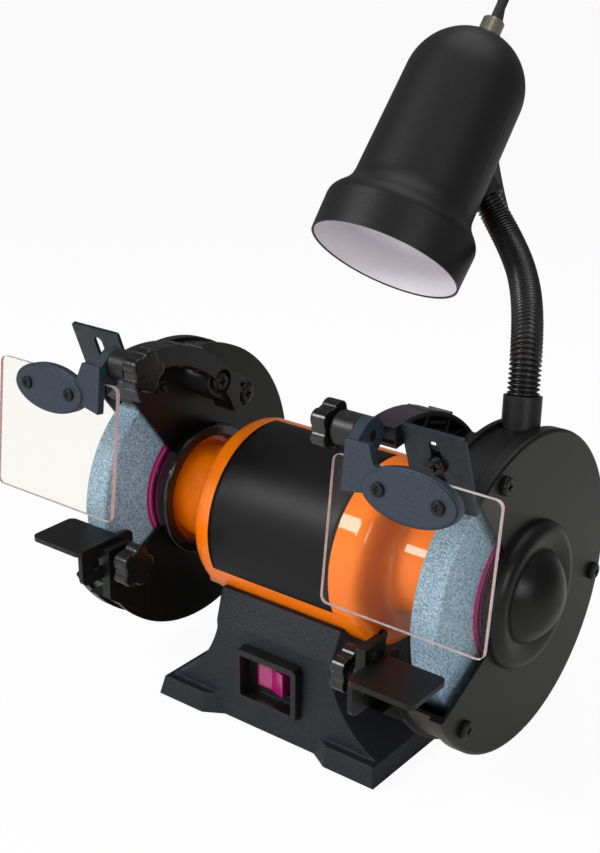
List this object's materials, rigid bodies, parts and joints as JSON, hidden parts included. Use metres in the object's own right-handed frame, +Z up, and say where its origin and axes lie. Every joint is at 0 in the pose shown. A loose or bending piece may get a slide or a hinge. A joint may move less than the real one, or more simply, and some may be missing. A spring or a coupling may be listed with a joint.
{
  "type": "bench grinder with work light",
  "caption": "Double-ended bench grinder with guarded wheels, eye shields, spark deflectors, tool rests, a rocker switch and a flexible-neck work light",
  "frame": {"origin": "On the bench top, under the middle of the base and of the bolt pattern", "axes": "+X along the spindle towards the wheel that carries the lamp, -Y the front with switch and shields, +Z up"},
  "size_m": [0.33, 0.3475, 0.4512],
  "materials": {
    "motor_enamel": "gloss orange enamel",
    "guard_paint": "satin black paint",
    "base_coat": "textured charcoal powder coat",
    "steel": "turned and plated steel",
    "laminations": "stacked steel laminations",
    "copper": "varnished copper wire",
    "deflector_steel": "dark blued steel",
    "grit": "bonded abrasive grit",
    "blotter": "printed paper disc",
    "black_plastic": "moulded black plastic",
    "collar_plastic": "glossy black moulding",
    "bracket_plastic": "textured blue-grey moulding",
    "rocker_plastic": "translucent magenta plastic",
    "clear_pane": "clear polycarbonate",
    "rubber": "moulded rubber",
    "shade_paint": "fine-texture black paint",
    "ceramic": "white lamp holder",
    "bulb_glass": "opal glass",
    "nickel": "nickel plate",
    "hose": "black coated steel hose",
    "cord_rubber": "black cord sheath",
    "can": "drawn can"
  },
  "bodies": {
    "frame": {"arm_screws": "guard_paint", "base_casting": "base_coat", "base_plate": "steel", "base_plate_screws": "steel", "bearing_outer_races": "steel", "bell_screws": "guard_paint", "capacitor": "can", "cord_glands": "black_plastic", "cover_nuts": "guard_paint", "cover_screws": "guard_paint", "deflector_screws": "guard_paint", "gooseneck": "hose", "guard_collars": "collar_plastic", "guard_screws": "steel", "lamp_cord": "cord_rubber", "left_end_bell": "motor_enamel", "left_guard_cover": "guard_paint", "left_inner_guard": "guard_paint", "left_shield_arm": "black_plastic", "motor_screws": "steel", "motor_shell": "motor_enamel", "neck_collar": "shade_paint", "rest_clamp_nuts": "guard_paint", "right_end_bell": "motor_enamel", "right_guard_cover": "guard_paint", "right_inner_guard": "guard_paint", "right_shield_arm": "black_plastic", "rubber_feet": "rubber", "stator_core": "laminations", "stator_windings": "copper", "switch_housing": "black_plastic"},
    "spindle": {"spindle": "steel", "rotor_core": "laminations", "bearing_inner_races": "steel", "bearing_balls": "steel", "right_wheel": "grit", "left_wheel": "grit", "wheel_blotters": "blotter", "wheel_flanges": "steel", "arbor_nuts": "steel"},
    "rocker": {"switch_rocker": "rocker_plastic"},
    "lamp": {"lamp_shade": "shade_paint", "lamp_socket": "ceramic", "lamp_bulb": "bulb_glass", "cord_grip": "nickel", "lamp_elbow": "shade_paint"},
    "right_shield": {"right_eye_shield": "clear_pane", "right_shield_bracket": "bracket_plastic", "right_shield_screws": "guard_paint"},
    "right_shield_knob": {"right_shield_knob": "black_plastic"},
    "right_deflector": {"right_spark_deflector": "deflector_steel"},
    "right_rest": {"right_tool_rest": "guard_paint"},
    "right_rest_knob": {"right_rest_knob": "black_plastic"},
    "left_shield": {"left_eye_shield": "clear_pane", "left_shield_bracket": "bracket_plastic", "left_shield_screws": "guard_paint"},
    "left_shield_knob": {"left_shield_knob": "black_plastic"},
    "left_deflector": {"left_spark_deflector": "deflector_steel"},
    "left_rest": {"left_tool_rest": "guard_paint"},
    "left_rest_knob": {"left_rest_knob": "black_plastic"}
  },
  "joints": [
    {"name": "spindle_spin", "type": "hinge", "parent": "frame", "child": "spindle", "pos_m": [0, 0, 0.112], "axis": [1, 0, 0], "continuous": true},
    {"name": "switch_rock", "type": "hinge", "parent": "frame", "child": "rocker", "pos_m": [0, -0.044, 0.0345], "axis": [0, 0, 1], "range_deg": [0, 20]},
    {"name": "right_shield_tilt", "type": "hinge", "parent": "frame", "child": "right_shield", "pos_m": [0.0845, -0.084, 0.217], "axis": [1, 0, 0], "range_deg": [-70, 6]},
    {"name": "right_shield_knob_turn", "type": "hinge", "parent": "frame", "child": "right_shield_knob", "pos_m": [0.065, -0.084, 0.217], "axis": [1, 0, 0], "continuous": true},
    {"name": "right_deflector_slide", "type": "slide", "parent": "frame", "child": "right_deflector", "axis": [0, -0.342, 0.9397], "range_m": [-0.002, 0.0085]},
    {"name": "right_rest_slide", "type": "slide", "parent": "frame", "child": "right_rest", "axis": [0, 1, 0], "range_m": [-0.006, 0.0015]},
    {"name": "right_rest_knob_turn", "type": "hinge", "parent": "frame", "child": "right_rest_knob", "pos_m": [0.0765, -0.084, 0.086], "axis": [1, 0, 0], "continuous": true},
    {"name": "left_shield_tilt", "type": "hinge", "parent": "frame", "child": "left_shield", "pos_m": [-0.0845, -0.084, 0.217], "axis": [1, 0, 0], "range_deg": [-70, 6]},
    {"name": "left_shield_knob_turn", "type": "hinge", "parent": "frame", "child": "left_shield_knob", "pos_m": [-0.065, -0.084, 0.217], "axis": [1, 0, 0], "continuous": true},
    {"name": "left_deflector_slide", "type": "slide", "parent": "frame", "child": "left_deflector", "axis": [0, -0.342, 0.9397], "range_m": [-0.009, 0]},
    {"name": "left_rest_slide", "type": "slide", "parent": "frame", "child": "left_rest", "axis": [0, 1, 0], "range_m": [-0.006, 0.0015]},
    {"name": "left_rest_knob_turn", "type": "hinge", "parent": "frame", "child": "left_rest_knob", "pos_m": [-0.0765, -0.084, 0.097], "axis": [1, 0, 0], "continuous": true},
    {"name": "neck_bend", "type": "hinge", "parent": "frame", "child": "lamp", "pos_m": [0.105, 0.025, 0.235], "axis": [0.7161, 0.698, 0], "range_deg": [-15, 30], "deforming": ["gooseneck", "lamp_cord"]}
  ]
}
